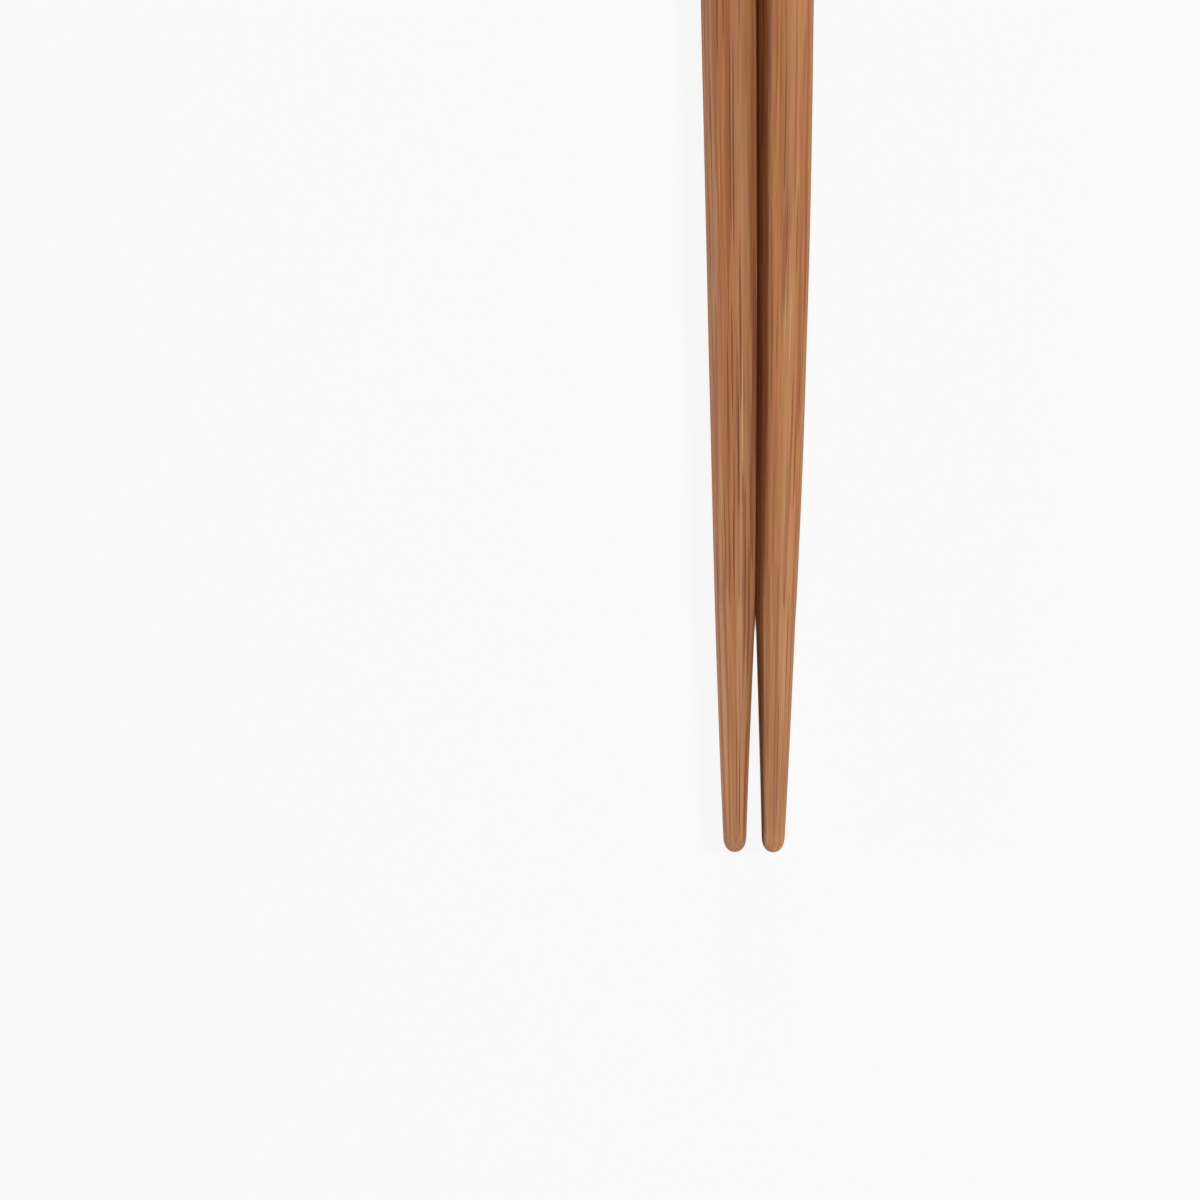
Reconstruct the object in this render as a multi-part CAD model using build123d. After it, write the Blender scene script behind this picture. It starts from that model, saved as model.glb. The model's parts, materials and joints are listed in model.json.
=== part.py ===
from build123d import *

import os

# A pair of round bamboo chopsticks, laid side by side on a table with their tips together.
# +Y runs from the tips to the heads and +Z is up. +X is to the right, seen from the tips.
# The origin is on the table, under the middle of the pair.

# Sizes of one stick, in millimetres. Distances are measured from the end of the tip.

stick_length = 240.0
shank_diameter = 6.0  # the straight upper part that the hand holds
taper_length = 130.0  # where the shank starts to narrow
knee_distance = 24.0  # where the long taper turns into the steeper tip cone
knee_diameter = 4.05  # measured where the two tapers would cross
knee_blend_radius = 290.0  # softens the turn at the knee
tip_diameter = 2.25  # of the ball that rounds the tip
head_edge_radius = 0.5  # the eased edge round the flat head

# Lie of the pair, in degrees and millimetres

toe_in = 0.66  # how far each stick turns towards the other at its tip
side_clearance = 0.05  # between the two sticks where they lie closest

STICKS = {"chopstick_left": -1, "chopstick_right": 1}  # each name with its side along X


def stick_profile():
    """Half of the stick's outline: X is the distance from its axis, Y the distance from its tip."""
    tip_radius = tip_diameter / 2
    shank_radius = shank_diameter / 2
    knee = (knee_diameter / 2, knee_distance)
    shank_start = (shank_radius, taper_length)
    head_edge = (shank_radius, stick_length)
    with BuildSketch() as profile:
        with BuildLine():
            tip_ball = CenterArc((0, tip_radius), tip_radius, 0, 360, mode=Mode.PRIVATE)
            tip_cone = ConstrainedLines(tip_ball, knee, selector=outermost)
            dome_edge = tip_cone.vertices().sort_by(Axis.Y)[0]
            TangentArc((0, 0), dome_edge, tangent=(1, 0))
            TangentArc(shank_start, knee, tangent=(0, -1))
            Polyline(shank_start, head_edge, (0, stick_length), (0, 0))
        make_face()
        fillet(corner_at(profile, knee), knee_blend_radius)
        fillet(corner_at(profile, head_edge), head_edge_radius)
    return profile.sketch


def outermost(lines):
    """The line that lies farthest from the stick's axis."""
    return lines.sort_by(Axis.X)[-1]


def corner_at(profile, point):
    """The corner of the profile that lies at the point."""
    return profile.vertices().sort_by_distance((*point, 0))[0]


def whole_stick():
    """One stick along +Y, with the end of its tip at the origin."""
    return revolve(stick_profile(), Axis.Y)


def laid_stick(stick, side):
    """The stick resting on the table at one side of X = 0, turned in at its tip."""
    turned = Rot(0, 0, -side * toe_in) * stick
    box = turned.bounding_box(optimal=True)
    inner_flank = box.min.X if side > 0 else box.max.X
    across = side * side_clearance / 2 - inner_flank
    return Pos(across, -box.center().Y, shank_diameter / 2) * turned


def write_pair():
    """Lays both sticks and writes each one to its own file."""
    os.makedirs("parts", exist_ok=True)
    stick = whole_stick()
    for name, side in STICKS.items():
        export_step(laid_stick(stick, side), f"parts/{name}.step")


write_pair()
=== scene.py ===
"""A pair of round carbonised bamboo chopsticks, lying side by side with their tips together.

The sticks lie on a table at Z = 0. +Y runs from the tips to the heads, and +Z is up.
Lengths are in metres, apart from those that say they are in millimetres.
"""

import json
import logging
import math
from dataclasses import dataclass
from enum import Enum

import bmesh
import bpy
from mathutils import Matrix, Vector


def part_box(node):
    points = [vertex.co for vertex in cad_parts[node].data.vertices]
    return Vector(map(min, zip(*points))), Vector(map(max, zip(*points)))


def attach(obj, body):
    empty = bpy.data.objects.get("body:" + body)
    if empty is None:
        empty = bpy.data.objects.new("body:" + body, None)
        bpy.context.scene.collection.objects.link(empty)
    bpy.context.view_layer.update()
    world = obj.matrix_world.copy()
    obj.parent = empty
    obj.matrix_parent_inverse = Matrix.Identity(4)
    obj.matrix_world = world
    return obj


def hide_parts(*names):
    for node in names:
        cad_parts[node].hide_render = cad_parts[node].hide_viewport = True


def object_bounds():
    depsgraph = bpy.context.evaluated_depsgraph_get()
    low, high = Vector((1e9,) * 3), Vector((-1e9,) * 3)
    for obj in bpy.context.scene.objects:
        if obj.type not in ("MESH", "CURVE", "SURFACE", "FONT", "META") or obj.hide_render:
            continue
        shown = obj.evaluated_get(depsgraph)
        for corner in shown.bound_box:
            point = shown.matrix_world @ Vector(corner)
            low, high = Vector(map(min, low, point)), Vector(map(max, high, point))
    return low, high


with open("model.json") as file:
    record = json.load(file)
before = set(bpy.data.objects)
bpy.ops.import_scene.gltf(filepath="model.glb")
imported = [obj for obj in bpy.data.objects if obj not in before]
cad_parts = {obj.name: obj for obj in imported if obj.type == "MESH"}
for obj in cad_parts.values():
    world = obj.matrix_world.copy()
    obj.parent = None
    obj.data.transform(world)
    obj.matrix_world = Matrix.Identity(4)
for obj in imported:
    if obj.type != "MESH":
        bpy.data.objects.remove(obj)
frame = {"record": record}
cad_low, cad_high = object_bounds()

log = logging.getLogger("chopsticks")

Colour = tuple[float, float, float, float]
Triple = tuple[float, float, float]
Span = tuple[float, float]
Outline = list[tuple[float, float]]
Socket = bpy.types.NodeSocket

MM = 0.001
WHITE: Colour = (1.0, 1.0, 1.0, 1.0)
NOISE_MIDDLE: Triple = (0.5, 0.5, 0.5)

# Screen colours follow a curve (sRGB): a straight foot up to a limit, and a power above it.
BRIGHTEST = 255
FOOT_LIMIT = 0.04045
FOOT_SLOPE = 12.92
CURVE_SHIFT = 0.055
CURVE_POWER = 2.4

# The sockets that a Mix node uses when it mixes colours.
MIX_SHARE, MIX_FIRST, MIX_SECOND = 0, 6, 7
MIX_RESULT = 2


class SkinSide(Enum):
    """The side of a stick that was nearest the skin of the bamboo, where fibres crowd."""

    UP = (0.0, 0.0, 1.0)
    RIGHT = (1.0, 0.0, 0.0)


def linear(red: int, green: int, blue: int) -> Colour:
    """Turns a colour as seen on a screen into the linear values that shaders take.

    Args:
        red: red from 0 to 255.
        green: green from 0 to 255.
        blue: blue from 0 to 255.

    Returns:
        Linear red, green and blue, and an alpha of 1.
    """
    made = []
    for channel in (red, green, blue):
        share = channel / BRIGHTEST
        if share <= FOOT_LIMIT:
            made.append(share / FOOT_SLOPE)
        else:
            made.append(((share + CURVE_SHIFT) / (1 + CURVE_SHIFT)) ** CURVE_POWER)
    return (*made, 1.0)


def deselect_everything() -> None:
    """Leaves nothing selected."""
    bpy.ops.object.select_all(action="DESELECT")


def pick(piece: bpy.types.Object) -> None:
    """Selects one object alone and makes it active.

    Args:
        piece: the object.
    """
    deselect_everything()
    piece.select_set(True)
    bpy.context.view_layer.objects.active = piece


class NodeSheet:
    """The node tree of a material or a world, with short calls that add and wire nodes."""

    def __init__(self, owner: bpy.types.Material | bpy.types.World) -> None:
        """Empties the owner's tree and keeps it.

        Args:
            owner: the material or the world whose nodes are drawn.
        """
        owner.use_nodes = True
        self.tree = owner.node_tree
        self.tree.nodes.clear()

    def add(self, kind: str, inputs: dict | None = None, **settings: object) -> bpy.types.Node:
        """Adds one node.

        Args:
            kind: Blender's name of the node type.
            inputs: what each input takes, by its name or number: a socket or a plain value.
            settings: values for the node's own properties.

        Returns:
            The new node.
        """
        node = self.tree.nodes.new(kind)
        for name, value in settings.items():
            setattr(node, name, value)
        for key, value in (inputs or {}).items():
            self.wire(node.inputs[key], value)
        return node

    def wire(self, socket: Socket, value: object) -> None:
        """Links a socket to an output, or sets its plain value.

        Args:
            socket: the input to feed.
            value: an output socket or a plain value.
        """
        if isinstance(value, Socket):
            self.tree.links.new(value, socket)
        else:
            socket.default_value = value

    def math(self, operation: str, first: object, second: object = 0.0) -> Socket:
        """Adds a Math node and returns its result.

        Args:
            operation: the node's operation.
            first: the first operand.
            second: the second operand.

        Returns:
            The result socket.
        """
        return self.add("ShaderNodeMath", {0: first, 1: second}, operation=operation).outputs[0]

    def vector(self, operation: str, first: object, second: object) -> Socket:
        """Adds a Vector Math node and returns its vector.

        Args:
            operation: the node's operation.
            first: the first operand.
            second: the second operand.

        Returns:
            The vector socket.
        """
        node = self.add("ShaderNodeVectorMath", {0: first, 1: second}, operation=operation)
        return node.outputs["Vector"]

    def reach(self, place: Socket, way: Triple) -> Socket:
        """How far a place lies in a direction.

        Args:
            place: the place.
            way: the direction, one unit long.

        Returns:
            The distance socket.
        """
        node = self.add("ShaderNodeVectorMath", {0: place, 1: way}, operation="DOT_PRODUCT")
        return node.outputs["Value"]

    def axis(self, place: Socket, name: str) -> Socket:
        """One coordinate of a place.

        Args:
            place: the place.
            name: X, Y or Z.

        Returns:
            The coordinate's socket.
        """
        return self.add("ShaderNodeSeparateXYZ", {0: place}).outputs[name]

    def ramp(self, value: object, span: tuple[object, object], low: object = 0.0,
             high: object = 1.0) -> Socket:
        """Adds a Map Range node with a smooth step and returns its result.

        Args:
            value: what is mapped.
            span: the values that give low and high.
            low: the result at the start of the span.
            high: the result at its end.

        Returns:
            The result socket.
        """
        node = self.add("ShaderNodeMapRange", interpolation_type="SMOOTHSTEP")
        for key, entry in enumerate((value, *span, low, high)):
            self.wire(node.inputs[key], entry)
        return node.outputs[0]

    def blend(self, share: object, first: object, second: object) -> Socket:
        """Adds a Mix node for colours and returns its result.

        Args:
            share: how much of the second colour is taken.
            first: the first colour.
            second: the second colour.

        Returns:
            The result socket.
        """
        inputs = {MIX_SHARE: share, MIX_FIRST: first, MIX_SECOND: second}
        return self.add("ShaderNodeMix", inputs, data_type="RGBA").outputs[MIX_RESULT]


@dataclass(frozen=True)
class StickLie:
    """Where one stick lies: the end of its tip and the way it points."""

    tip: Vector
    turn: float

    @classmethod
    def of_node(cls, node: str, head_mount: str) -> "StickLie":
        """Reads a stick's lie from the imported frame.

        Args:
            node: the CAD node's name.
            head_mount: the mount in the middle of the stick's flat head.

        Returns:
            The stick's lie.
        """
        mount = next(m for m in frame["record"]["mounts"] if m["name"] == head_mount)
        head, along = Vector(mount["pos_m"]), Vector(mount["axis"]).normalized()
        low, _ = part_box(node)
        length = (head.y - low.y) / along.y
        return cls(tip=head - along * length, turn=math.atan2(along.x, along.y))


@dataclass(frozen=True)
class StickProfile:
    """The outline of one stick as a radius at each distance from the end of its tip."""

    length: float = 240 * MM
    shank_radius: float = 3.0 * MM
    taper_length: float = 130 * MM
    taper_fullness: float = 1.92
    knee_distance: float = 24 * MM
    knee_radius: float = 2.015 * MM
    knee_softness: float = 0.01 * MM
    tip_radius: float = 1.10 * MM
    dome_length: float = 1.8 * MM
    dome_fullness: float = 3.0
    head_edge_radius: float = 0.5 * MM
    dome_steps: int = 18
    body_step: float = 1.5 * MM
    edge_steps: int = 8
    face_steps: int = 4

    @property
    def body_end(self) -> float:
        """Where the eased edge round the head begins."""
        return self.length - self.head_edge_radius

    def body_radius(self, distance: float) -> float:
        """The radius of the cone, the long taper or the shank, without the dome and the head.

        Args:
            distance: how far along the stick, from the end of its tip.

        Returns:
            The radius there.
        """
        widening = (self.knee_radius - self.tip_radius) * distance / self.knee_distance
        cone = self.tip_radius + widening
        left = max(0.0, self.taper_length - distance) / (self.taper_length - self.knee_distance)
        narrowing = (self.shank_radius - self.knee_radius) * left**self.taper_fullness
        taper = self.shank_radius - narrowing
        apart = (cone - taper) / 2
        return (cone + taper) / 2 - math.hypot(apart, self.knee_softness)

    def points(self) -> Outline:
        """The half outline from the end of the tip to the middle of the head.

        Returns:
            Pairs of radius and distance from the end of the tip.
        """
        return self.dome() + self.body() + self.head()

    def dome(self) -> Outline:
        """The blunt round end of the tip, with its points closest together at the very end.

        Returns:
            Pairs of radius and distance.
        """
        made = []
        for step in range(self.dome_steps + 1):
            share = (step / self.dome_steps) ** 2
            roundness = math.sqrt(1 - (1 - share) ** self.dome_fullness)
            distance = share * self.dome_length
            made.append((self.body_radius(distance) * roundness, distance))
        return made

    def body(self) -> Outline:
        """The tip cone, the long taper and the shank.

        Returns:
            Pairs of radius and distance.
        """
        reach = self.body_end - self.dome_length
        count = round(reach / self.body_step)
        made = []
        for step in range(1, count + 1):
            distance = self.dome_length + reach * step / count
            made.append((self.body_radius(distance), distance))
        return made

    def head(self) -> Outline:
        """The eased edge and the flat head.

        Returns:
            Pairs of radius and distance.
        """
        rim = self.body_radius(self.body_end) - self.head_edge_radius
        made = []
        for step in range(1, self.edge_steps + 1):
            angle = math.pi / 2 * step / self.edge_steps
            out = self.head_edge_radius * math.cos(angle)
            up = self.head_edge_radius * math.sin(angle)
            made.append((rim + out, self.body_end + up))
        for step in range(1, self.face_steps + 1):
            made.append((rim * (1 - step / self.face_steps), self.length))
        return made


@dataclass(frozen=True)
class Bow:
    """A stick's slight bend.

    Each point of its axis says how far it is from the tip and how far it lies to the right,
    in millimetres.
    """

    points: tuple[tuple[float, float], ...]
    smoothness: int = 64

    def guide(self) -> bpy.types.Object:
        """Draws a smooth curve through the points.

        Returns:
            The curve, which starts at the tip and runs along +Y.
        """
        deselect_everything()
        bpy.ops.curve.primitive_bezier_curve_add()
        guide = bpy.context.object
        guide.data.resolution_u = self.smoothness
        guide.data.twist_mode = "Z_UP"
        knots = guide.data.splines[0].bezier_points
        knots.add(len(self.points) - len(knots))
        for knot, (distance, sideways) in zip(knots, self.points):
            knot.co = (sideways * MM, distance * MM, 0)
            knot.handle_left_type = "AUTO"
            knot.handle_right_type = "AUTO"
        return guide


@dataclass(frozen=True)
class HandFinish:
    """The slight unevenness of a stick that was rounded and sanded."""

    start: float
    depth: float = 0.05 * MM
    across: float = 5 * MM
    along: float = 22 * MM
    cloud_size: float = 1.0
    cloud_detail: int = 1

    def texture(self) -> bpy.types.Texture:
        """A soft cloud texture for the depth.

        Returns:
            The texture.
        """
        made = bpy.data.textures.new("uneven_hand_finish", "CLOUDS")
        made.noise_scale = self.cloud_size
        made.noise_depth = self.cloud_detail
        return made

    def grid(self) -> bpy.types.Object:
        """An empty whose scale stretches the clouds along the stick.

        Returns:
            The empty.
        """
        deselect_everything()
        bpy.ops.object.empty_add(location=(self.start, self.start, self.start))
        grid = bpy.context.object
        grid.scale = (self.across, self.along, self.across)
        return grid


@dataclass(frozen=True)
class Grain:
    """The sockets that the colour and the relief of a stick are drawn from."""

    place: Socket
    flow: Socket
    density: Socket
    fibres: Socket
    bundles: Socket
    threads: Socket


@dataclass(frozen=True)
class Streaks:
    """Noise drawn out along the grain, in waves to a millimetre, and how strongly it tints."""

    across: float
    along: float
    span: Span
    tint: float = 1.0
    detail: float = 2.0
    roughness: float = 0.5

    def noise(self, sheet: NodeSheet, flow: Socket) -> Socket:
        """Draws the noise.

        Args:
            sheet: the node tree.
            flow: the wandering place.

        Returns:
            The noise, around a half.
        """
        inputs = {
            "Vector": sheet.vector("MULTIPLY", flow, (self.across, self.along, self.across)),
            "Scale": 1.0,
            "Detail": self.detail,
            "Roughness": self.roughness,
        }
        return sheet.add("ShaderNodeTexNoise", inputs).outputs[0]

    def share(self, sheet: NodeSheet, noise: Socket) -> Socket:
        """Turns the noise into a share of the tint.

        Args:
            sheet: the node tree.
            noise: the noise, around a half.

        Returns:
            The share socket.
        """
        return sheet.ramp(noise, self.span, 0.0, self.tint)


@dataclass(frozen=True)
class Cores:
    """Long thin cores that run through the solid, one in each stretched cell.

    The cells are in millimetres, and the radius of a full core is a share of its cell.
    """

    cell: float
    cell_length: float
    radius: float
    tint: float
    firm_share: float = 0.65
    picked_span: Span = (0.0, 0.8)
    faintest: float = 0.2

    def drawn(self, sheet: NodeSheet, flow: Socket, density: Socket) -> Socket:
        """Draws the cores, some of them strong and some faint.

        Args:
            sheet: the node tree.
            flow: the wandering place.
            density: the share of full thickness.

        Returns:
            1 in the middle of a strong core and 0 outside.
        """
        scale = (1 / self.cell, 1 / self.cell_length, 1 / self.cell)
        stretched = sheet.vector("MULTIPLY", flow, scale)
        cells = sheet.add("ShaderNodeTexVoronoi", {"Vector": stretched, "Scale": 1.0})
        edge = sheet.math("MULTIPLY", density, self.radius)
        firm = sheet.math("MULTIPLY", edge, self.firm_share)
        inside = sheet.ramp(cells.outputs["Distance"], (edge, firm))
        picked = sheet.add("ShaderNodeSeparateColor", {0: cells.outputs["Color"]}).outputs[0]
        strength = sheet.ramp(picked, self.picked_span, self.faintest)
        return sheet.math("MULTIPLY", inside, strength)


@dataclass(frozen=True)
class BambooFinish:
    """Carbonised bamboo, whose fibre bundles run through the solid along the stick.

    Its lengths are in millimetres in the stick's own frame, apart from the relief's depth.
    """

    name: str
    lie: StickLie
    skin: SkinSide
    shift: float
    sparse_share: float
    dense_share: float
    pink: Colour = linear(191, 126, 82)
    yellow: Colour = linear(187, 131, 76)
    band: Colour = linear(150, 86, 50)
    bundle: Colour = linear(116, 58, 34)
    thread: Colour = linear(212, 158, 110)
    sanded: Colour = linear(202, 150, 106)
    # Painted shade of the groove between the sticks, laid on darker towards the skin side.
    painted_groove_shade: Colour = linear(112, 76, 52)
    tip_radius: float = 1.10
    knee_radius: float = 2.025
    cone_slope: float = 0.0385
    follow_share: float = 0.85
    wander_waves: Triple = (0.12, 0.012, 0.12)
    wander_reach: Triple = (0.9, 0.0, 0.9)
    wander_detail: float = 2.0
    crowding_span: Span = (-0.5, 1.5)
    tip_span: Span = (45.0, 15.0)
    tip_density: float = 0.85
    dome_span: Span = (0.5, 3.0)
    dome_density: float = 0.4
    sanded_span: Span = (48.0, 8.0)
    sanded_share: float = 0.52
    painted_groove_shade_span: Span = (0.6, 2.1)
    painted_groove_shade_share: float = 0.0
    drift: Streaks = Streaks(across=0.5, along=0.16, span=(0.38, 0.62))
    wide: Streaks = Streaks(across=0.9, along=0.04, span=(0.58, 0.4), tint=0.3)
    narrow: Streaks = Streaks(across=2.4, along=0.024, span=(0.48, 0.42), tint=0.85)
    fine: Streaks = Streaks(across=4.0, along=0.08, span=(0.62, 0.38), tint=0.3)
    dark_cores: Cores = Cores(cell=0.31, cell_length=44.0, radius=0.4, tint=0.8)
    pale_cores: Cores = Cores(cell=0.5, cell_length=50.0, radius=0.22, tint=0.7)
    roughness: Span = (0.6, 0.7)
    sheen: float = 0.3
    relief: float = 0.3
    relief_depth: float = 0.03 * MM

    def material(self) -> bpy.types.Material:
        """Draws the finish.

        Returns:
            The finished material.
        """
        made = bpy.data.materials.new(self.name)
        sheet = NodeSheet(made)
        place = self.drawn_in(sheet, self.stick_place(sheet))
        flow = self.wandering(sheet, place)
        density = self.density(sheet, place)
        grain = Grain(
            place=place,
            flow=flow,
            density=density,
            fibres=self.fine.noise(sheet, flow),
            bundles=self.dark_cores.drawn(sheet, flow, density),
            threads=self.pale_cores.drawn(sheet, flow, density),
        )
        self.surface(sheet, self.colour(sheet, grain), grain)
        return made

    def stick_place(self, sheet: NodeSheet) -> Socket:
        """The point in the stick's own frame, in millimetres, with Y along its axis.

        Args:
            sheet: the node tree.

        Returns:
            The place socket.
        """
        per_metre = 1 / MM
        turned = Matrix.Rotation(self.lie.turn, 3, "Z") @ (self.lie.tip * per_metre)
        inputs = {
            "Vector": sheet.add("ShaderNodeTexCoord").outputs["Object"],
            "Location": -turned,
            "Rotation": (0.0, 0.0, self.lie.turn),
            "Scale": (per_metre, per_metre, per_metre),
        }
        return sheet.add("ShaderNodeMapping", inputs, vector_type="POINT").outputs[0]

    def drawn_in(self, sheet: NodeSheet, place: Socket) -> Socket:
        """The place with the fibres drawn in towards the axis along the tip cone.

        Args:
            sheet: the node tree.
            place: the point in the stick's own frame.

        Returns:
            The place, spread across the grain where the cone is thin.
        """
        distance = sheet.axis(place, "Y")
        cone = sheet.math("ADD", sheet.math("MULTIPLY", distance, self.cone_slope), self.tip_radius)
        at_least = sheet.math("MAXIMUM", cone, self.tip_radius)
        radius = sheet.math("MINIMUM", at_least, self.knee_radius)
        thinning = sheet.math("DIVIDE", self.knee_radius, radius)
        spread = sheet.math("POWER", thinning, self.follow_share)
        inputs = {"X": spread, "Y": 1.0, "Z": spread}
        factors = sheet.add("ShaderNodeCombineXYZ", inputs).outputs[0]
        return sheet.vector("MULTIPLY", place, factors)

    def wandering(self, sheet: NodeSheet, place: Socket) -> Socket:
        """The place moved a little across the grain, so that fibres aren't dead straight.

        Args:
            sheet: the node tree.
            place: the point in the stick's own frame.

        Returns:
            The moved place.
        """
        started = sheet.vector("ADD", place, (self.shift, self.shift, self.shift))
        inputs = {
            "Vector": sheet.vector("MULTIPLY", started, self.wander_waves),
            "Scale": 1.0,
            "Detail": self.wander_detail,
        }
        noise = sheet.add("ShaderNodeTexNoise", inputs).outputs["Color"]
        centred = sheet.vector("SUBTRACT", noise, NOISE_MIDDLE)
        across = sheet.vector("MULTIPLY", centred, self.wander_reach)
        return sheet.vector("ADD", started, across)

    def density(self, sheet: NodeSheet, place: Socket) -> Socket:
        """How thick the bundles are, which is most towards the skin and least at the very tip.

        Args:
            sheet: the node tree.
            place: the point in the stick's own frame.

        Returns:
            The share of full bundle thickness.
        """
        towards_skin = sheet.reach(place, self.skin.value)
        crowded = sheet.ramp(towards_skin, self.crowding_span, self.sparse_share, self.dense_share)
        distance = sheet.axis(place, "Y")
        cone = sheet.ramp(distance, self.tip_span, 1.0, self.tip_density)
        dome = sheet.ramp(distance, self.dome_span, self.dome_density)
        return sheet.math("MULTIPLY", sheet.math("MULTIPLY", crowded, cone), dome)

    def colour(self, sheet: NodeSheet, grain: Grain) -> Socket:
        """The colour, from its slow drift down to its bundles, a little paler at the tip, with
        painted shade darkening it towards the skin side.

        Args:
            sheet: the node tree.
            grain: the stick's grain.

        Returns:
            The colour socket.
        """
        drift = self.drift.share(sheet, self.drift.noise(sheet, grain.flow))
        wide = self.wide.share(sheet, self.wide.noise(sheet, grain.flow))
        narrow = self.narrow.share(sheet, self.narrow.noise(sheet, grain.flow))
        distance = sheet.axis(grain.place, "Y")
        towards_skin = sheet.reach(grain.place, self.skin.value)
        layers = (
            (sheet.ramp(distance, self.sanded_span, 0.0, self.sanded_share), self.sanded),
            (wide, self.band),
            (sheet.math("MULTIPLY", narrow, grain.density), self.band),
            (self.fine.share(sheet, grain.fibres), self.band),
            (sheet.math("MULTIPLY", grain.threads, self.pale_cores.tint), self.thread),
            (sheet.math("MULTIPLY", grain.bundles, self.dark_cores.tint), self.bundle),
            # Painted shade: darker towards the skin side, which on the left stick lies against the
            # right one in the groove.
            (sheet.ramp(towards_skin, self.painted_groove_shade_span, 0.0, self.painted_groove_shade_share), self.painted_groove_shade),
        )
        colour = sheet.blend(drift, self.pink, self.yellow)
        for share, tint in layers:
            colour = sheet.blend(share, colour, tint)
        return colour

    def surface(self, sheet: NodeSheet, colour: Socket, grain: Grain) -> None:
        """Wires the colour, the satin sheen and the fine relief into the surface.

        Args:
            sheet: the node tree.
            colour: the colour socket.
            grain: the stick's grain.
        """
        relief = {
            "Strength": self.relief,
            "Distance": self.relief_depth,
            "Height": sheet.math("SUBTRACT", grain.fibres, grain.bundles),
        }
        inputs = {
            "Base Color": colour,
            "Roughness": sheet.ramp(grain.bundles, (0.0, 1.0), *self.roughness),
            "Specular IOR Level": self.sheen,
            "Normal": sheet.add("ShaderNodeBump", relief).outputs[0],
        }
        shader = sheet.add("ShaderNodeBsdfPrincipled", inputs)
        sheet.add("ShaderNodeOutputMaterial", {"Surface": shader.outputs[0]})


@dataclass
class Chopstick:
    """One stick: a turned and tapered rod of bamboo."""

    name: str
    node: str
    slot: str
    lie: StickLie
    finish: BambooFinish
    bow: Bow
    tip_lean: float
    hand_finish: HandFinish
    profile: StickProfile = StickProfile()
    segments: int = 112
    tip_reach: float = 2.4 * MM
    weld_distance: float = 0.001 * MM

    def build(self) -> bpy.types.Object:
        """Models the stick, lays it in place and dresses it.

        Returns:
            The finished piece.
        """
        piece = self.turned_body()
        self.lean_tip(piece)
        self.roughen(piece)
        self.bend(piece)
        self.lay(piece)
        piece.data.materials.append(self.finish.material())
        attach(piece, "root")
        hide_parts(self.node)
        return piece

    def turned_body(self) -> bpy.types.Object:
        """Draws the half outline point by point and spins it about the stick's axis.

        Returns:
            The stick along +Y, with the end of its tip at the origin.
        """
        deselect_everything()
        bpy.ops.mesh.primitive_plane_add(size=MM, location=(0, 0, 0))
        piece = bpy.context.object
        piece.name = self.name
        piece.data.name = self.name
        bpy.ops.object.mode_set(mode="EDIT")
        bpy.ops.mesh.merge(type="CENTER")
        outline = self.profile.points()
        for (radius, distance), (next_radius, next_distance) in zip(outline, outline[1:]):
            step = (next_radius - radius, next_distance - distance, 0)
            bpy.ops.mesh.extrude_vertices_move(TRANSFORM_OT_translate={"value": step})
        bpy.ops.mesh.select_all(action="SELECT")
        bpy.ops.mesh.spin(steps=self.segments, angle=math.tau, center=(0, 0, 0), axis=(0, 1, 0))
        bpy.ops.mesh.select_all(action="SELECT")
        bpy.ops.mesh.remove_doubles(threshold=self.weld_distance)
        bpy.ops.mesh.normals_make_consistent(inside=False)
        bpy.ops.object.mode_set(mode="OBJECT")
        bpy.ops.object.shade_smooth()
        return piece

    def lean_tip(self, piece: bpy.types.Object) -> None:
        """Pushes the end of the tip sideways, with the dome following softly.

        Args:
            piece: the straight stick.
        """
        bpy.ops.object.mode_set(mode="EDIT")
        bpy.ops.mesh.select_all(action="DESELECT")
        shape = bmesh.from_edit_mesh(piece.data)
        end = min(shape.verts, key=lambda vertex: vertex.co.y)
        end.select_set(True)
        bmesh.update_edit_mesh(piece.data)
        bpy.ops.transform.translate(
            value=(self.tip_lean, 0, 0),
            use_proportional_edit=True,
            proportional_edit_falloff="SMOOTH",
            proportional_size=self.tip_reach,
        )
        bpy.ops.object.mode_set(mode="OBJECT")

    def roughen(self, piece: bpy.types.Object) -> None:
        """Makes the turned surface slightly uneven.

        Args:
            piece: the straight stick.
        """
        grid = self.hand_finish.grid()
        pick(piece)
        uneven = piece.modifiers.new("uneven", "DISPLACE")
        uneven.texture = self.hand_finish.texture()
        uneven.texture_coords = "OBJECT"
        uneven.texture_coords_object = grid
        uneven.strength = self.hand_finish.depth
        bpy.ops.object.modifier_apply(modifier=uneven.name)
        bpy.data.objects.remove(grid)

    def bend(self, piece: bpy.types.Object) -> None:
        """Bends the stick along its bow.

        Args:
            piece: the straight stick.
        """
        guide = self.bow.guide()
        pick(piece)
        bent = piece.modifiers.new("bow", "CURVE")
        bent.object = guide
        bent.deform_axis = "POS_Y"
        bpy.ops.object.modifier_apply(modifier=bent.name)
        bpy.data.objects.remove(guide)

    def lay(self, piece: bpy.types.Object) -> None:
        """Turns the stick towards its neighbour and puts its tip in place.

        Args:
            piece: the stick along +Y.
        """
        pick(piece)
        piece.rotation_euler = (0, 0, -self.lie.turn)
        piece.location = self.lie.tip
        bpy.ops.object.transform_apply(location=True, rotation=True, scale=True)


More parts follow.
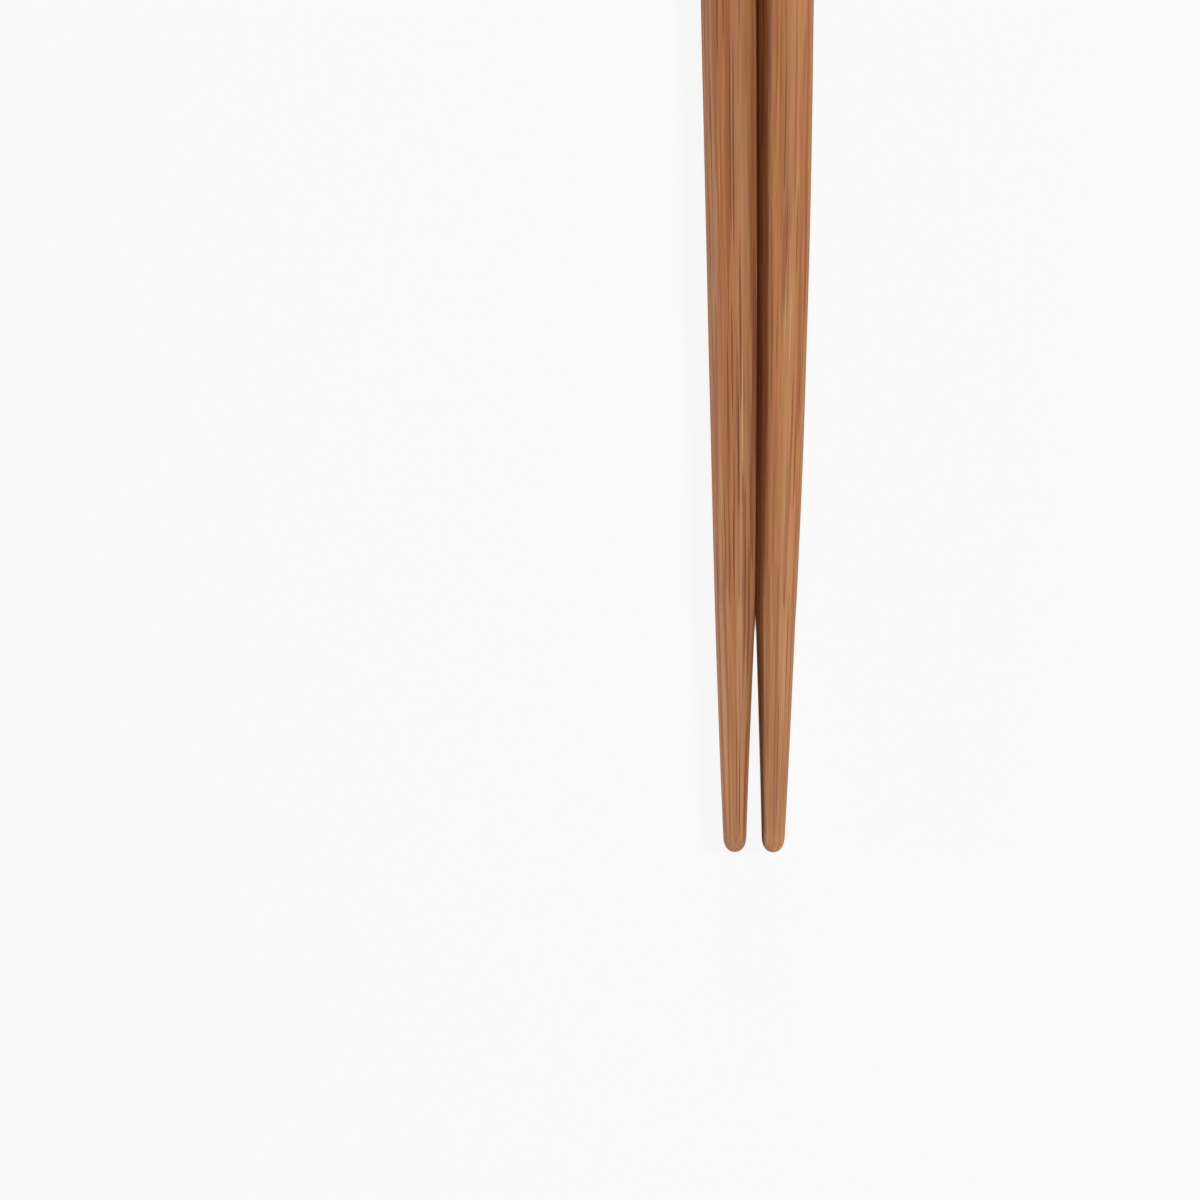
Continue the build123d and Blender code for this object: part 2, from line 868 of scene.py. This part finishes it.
@dataclass(frozen=True)
class TableTop:
    """The plain white table under the pair, which isn't part of the object, with a shadow painted
    under the seam between the sticks.
    """

    width: float = 4.0
    colour: Colour = (0.55, 0.55, 0.55, 1.0)
    shadow_share: float = 0.08
    # Painted shadow: a dark strip under the seam between the sticks, where they shut the light out.
    painted_seam_shadow: Colour = linear(60, 32, 22)
    seam_middle: float = 0.15 * MM
    seam_half_width: float = 0.3 * MM
    seam_softness: float = 1.2
    seam_widening: Span = (-102 * MM, -90 * MM)
    seam_start: Span = (-98.5 * MM, -96 * MM)
    seam_end: Span = (5 * MM, -22 * MM)

    def build(self) -> None:
        """Lays the table top at Z = 0."""
        deselect_everything()
        bpy.ops.mesh.primitive_plane_add(size=self.width, location=(0, 0, 0))
        top = bpy.context.object
        top.name = "table_top"
        top.data.materials.append(self.material())

    def material(self) -> bpy.types.Material:
        """White to the camera, with part of the pair's shadow kept and a painted shadow under the
        seam.

        Returns:
            The material.
        """
        made = bpy.data.materials.new("white_table")
        sheet = NodeSheet(made)
        lit = sheet.add("ShaderNodeBsdfDiffuse", {"Color": self.colour})
        # Mixes the painted seam shadow into the white that the camera sees.
        seen_with_painted_seam_shadow = sheet.blend(self.painted_seam_shadow_share(sheet), WHITE, self.painted_seam_shadow)
        seen = sheet.add("ShaderNodeEmission", {"Color": seen_with_painted_seam_shadow, "Strength": 1.0})
        path = sheet.add("ShaderNodeLightPath").outputs
        looked_at = sheet.math("MAXIMUM", path["Is Camera Ray"], path["Is Glossy Ray"])
        share = sheet.math("MULTIPLY", looked_at, 1 - self.shadow_share)
        inputs = {0: share, 1: lit.outputs[0], 2: seen.outputs[0]}
        mixed = sheet.add("ShaderNodeMixShader", inputs)
        sheet.add("ShaderNodeOutputMaterial", {"Surface": mixed.outputs[0]})
        return made

    def painted_seam_shadow_share(self, sheet: NodeSheet) -> Socket:
        """The painted shadow where the sticks shut the light out between them, from a point at the
        tips' end.

        Args:
            sheet: the node tree.

        Returns:
            1 under the seam and 0 elsewhere.
        """
        place = sheet.add("ShaderNodeTexCoord").outputs["Object"]
        along = sheet.axis(place, "Y")
        sideways = sheet.math("SUBTRACT", sheet.axis(place, "X"), self.seam_middle)
        half_width = sheet.ramp(along, self.seam_widening, 0.0, self.seam_half_width)
        edge = sheet.math("MULTIPLY", half_width, self.seam_softness)
        between = sheet.ramp(sheet.math("ABSOLUTE", sideways), (edge, half_width))
        begun = sheet.ramp(along, self.seam_start)
        lasting = sheet.ramp(along, self.seam_end)
        return sheet.math("MULTIPLY", between, sheet.math("MULTIPLY", begun, lasting))


@dataclass(frozen=True)
class SoftLamp:
    """A square softbox that is turned towards the pair."""

    name: str
    power: float
    size: float
    azimuth: float
    elevation: float
    distance: float = 0.9
    aim: Triple = (0.0, -0.06, 0.0)

    def build(self) -> None:
        """Hangs the lamp at its azimuth, in degrees from +X towards +Y, and its elevation."""
        deselect_everything()
        around, up = math.radians(self.azimuth), math.radians(self.elevation)
        level = math.cos(up)
        away = Vector((level * math.cos(around), level * math.sin(around), math.sin(up)))
        place = Vector(self.aim) + away * self.distance
        bpy.ops.object.light_add(type="AREA", location=place)
        lamp = bpy.context.object
        lamp.name = self.name
        lamp.data.energy = self.power
        lamp.data.size = self.size
        lamp.rotation_euler = away.to_track_quat("Z", "Y").to_euler()
        lamp.visible_camera = False


@dataclass(frozen=True)
class Studio:
    """Plain soft light: a high key lamp at the right and low lamps on the other sides."""

    room_strength: float = 0.03
    lamps: tuple[SoftLamp, ...] = (
        SoftLamp("key_lamp", power=6.9, size=0.2, azimuth=0, elevation=58),
        SoftLamp("fill_lamp", power=4.8, size=0.16, azimuth=180, elevation=7),
        SoftLamp("back_lamp", power=3.6, size=0.2, azimuth=90, elevation=8),
        SoftLamp("front_lamp", power=1.8, size=0.2, azimuth=-90, elevation=8),
    )

    def build(self) -> None:
        """Adds the room's light and the lamps."""
        self.room()
        for lamp in self.lamps:
            lamp.build()

    def room(self) -> None:
        """Fills the world with faint white light, and shows it to the camera as plain white."""
        world = bpy.data.worlds.new("white_room")
        bpy.context.scene.world = world
        sheet = NodeSheet(world)
        fill_inputs = {"Color": WHITE, "Strength": self.room_strength}
        fill = sheet.add("ShaderNodeBackground", fill_inputs)
        shown = sheet.add("ShaderNodeBackground", {"Color": WHITE, "Strength": 1.0})
        looked_at = sheet.add("ShaderNodeLightPath").outputs["Is Camera Ray"]
        inputs = {0: looked_at, 1: fill.outputs[0], 2: shown.outputs[0]}
        mixed = sheet.add("ShaderNodeMixShader", inputs)
        sheet.add("ShaderNodeOutputWorld", {"Surface": mixed.outputs[0]})


@dataclass(frozen=True)
class Viewpoint:
    """The camera, straight above the tips, framed as the photograph is."""

    photo_width: int = 1200
    metres_per_pixel: float = 0.1 * MM
    tip_end_row: float = 851.6
    middle_column: float = 754.8
    roll: float = math.radians(0.227)
    lens: float = 240.0
    sensor: float = 36.0
    clip_start: float = 0.01
    outline_height: float = 3 * MM

    def build(self, tip_end: float) -> None:
        """Adds the camera and makes it the scene's.

        Args:
            tip_end: where the tips end along Y.
        """
        middle = self.photo_width / 2
        across = (middle - self.middle_column) * self.metres_per_pixel
        along = tip_end + (self.tip_end_row - middle) * self.metres_per_pixel
        distance = self.photo_width * self.metres_per_pixel * self.lens / self.sensor
        deselect_everything()
        place = (across, along, self.outline_height + distance)
        bpy.ops.object.camera_add(location=place, rotation=(0, 0, self.roll))
        camera = bpy.context.object
        camera.name = "photo_camera"
        camera.data.lens = self.lens
        camera.data.sensor_width = self.sensor
        camera.data.clip_start = self.clip_start
        bpy.context.scene.camera = camera


# The left stick bows towards the right one, which follows it a hair's breadth away for 65 mm.
LEFT_BOW = Bow((
    (0, 0.02), (8, 0.04), (14.5, 0.10), (21, 0.18), (23.4, 0.217), (26, 0.217), (30, 0.215),
    (40, 0.217), (50, 0.195), (60, 0.172), (72, 0.115), (85, 0.045), (92, 0.03), (110, 0.02),
    (135, 0), (240, 0),
))
RIGHT_BOW = Bow((
    (0, 0), (8, -0.005), (14.5, -0.035), (21, -0.075), (23.4, -0.087), (26, -0.027),
    (30, 0.025), (40, 0.128), (50, 0.164), (60, 0.165), (72, 0.1), (85, -0.043),
    (92, -0.106), (105, -0.095), (130, -0.02), (160, 0), (240, 0),
))


def chopsticks() -> list[Chopstick]:
    """The two sticks, each with its own grain and its own slight bow.

    Returns:
        The left and the right stick.
    """
    left_lie = StickLie.of_node("chopstick_left", "left_head_end")
    right_lie = StickLie.of_node("chopstick_right", "right_head_end")
    left_finish = BambooFinish(
        name="left_bamboo",
        lie=left_lie,
        skin=SkinSide.RIGHT,
        shift=55.4,
        sparse_share=0.8,
        dense_share=1.3,
        pink=linear(185, 121, 78),
        yellow=linear(181, 124, 72),
        # Painted shade of the groove on the left stick's side against the right stick.
        painted_groove_shade_share=0.4,
    )
    right_finish = BambooFinish(
        name="right_bamboo",
        lie=right_lie,
        skin=SkinSide.UP,
        shift=73.9,
        sparse_share=0.35,
        dense_share=0.74,
    )
    return [
        Chopstick(
            name="left_stick",
            node="chopstick_left",
            slot="bamboo_left",
            lie=left_lie,
            finish=left_finish,
            bow=LEFT_BOW,
            tip_lean=-0.19 * MM,
            hand_finish=HandFinish(start=0.31),
        ),
        Chopstick(
            name="right_stick",
            node="chopstick_right",
            slot="bamboo_right",
            lie=right_lie,
            finish=right_finish,
            bow=RIGHT_BOW,
            tip_lean=0.12 * MM,
            hand_finish=HandFinish(start=0.77),
        ),
    ]


def main() -> None:
    """Builds the camera, the table, the light and the two sticks."""
    logging.basicConfig(level=logging.INFO, format="%(name)s: %(message)s")
    bpy.context.scene.view_settings.view_transform = "Standard"
    Viewpoint().build(tip_end=cad_low.y)
    TableTop().build()
    Studio().build()
    for stick in chopsticks():
        piece = stick.build()
        log.info("%s has %d faces", piece.name, len(piece.data.polygons))


if __name__ == "__main__":
    main()
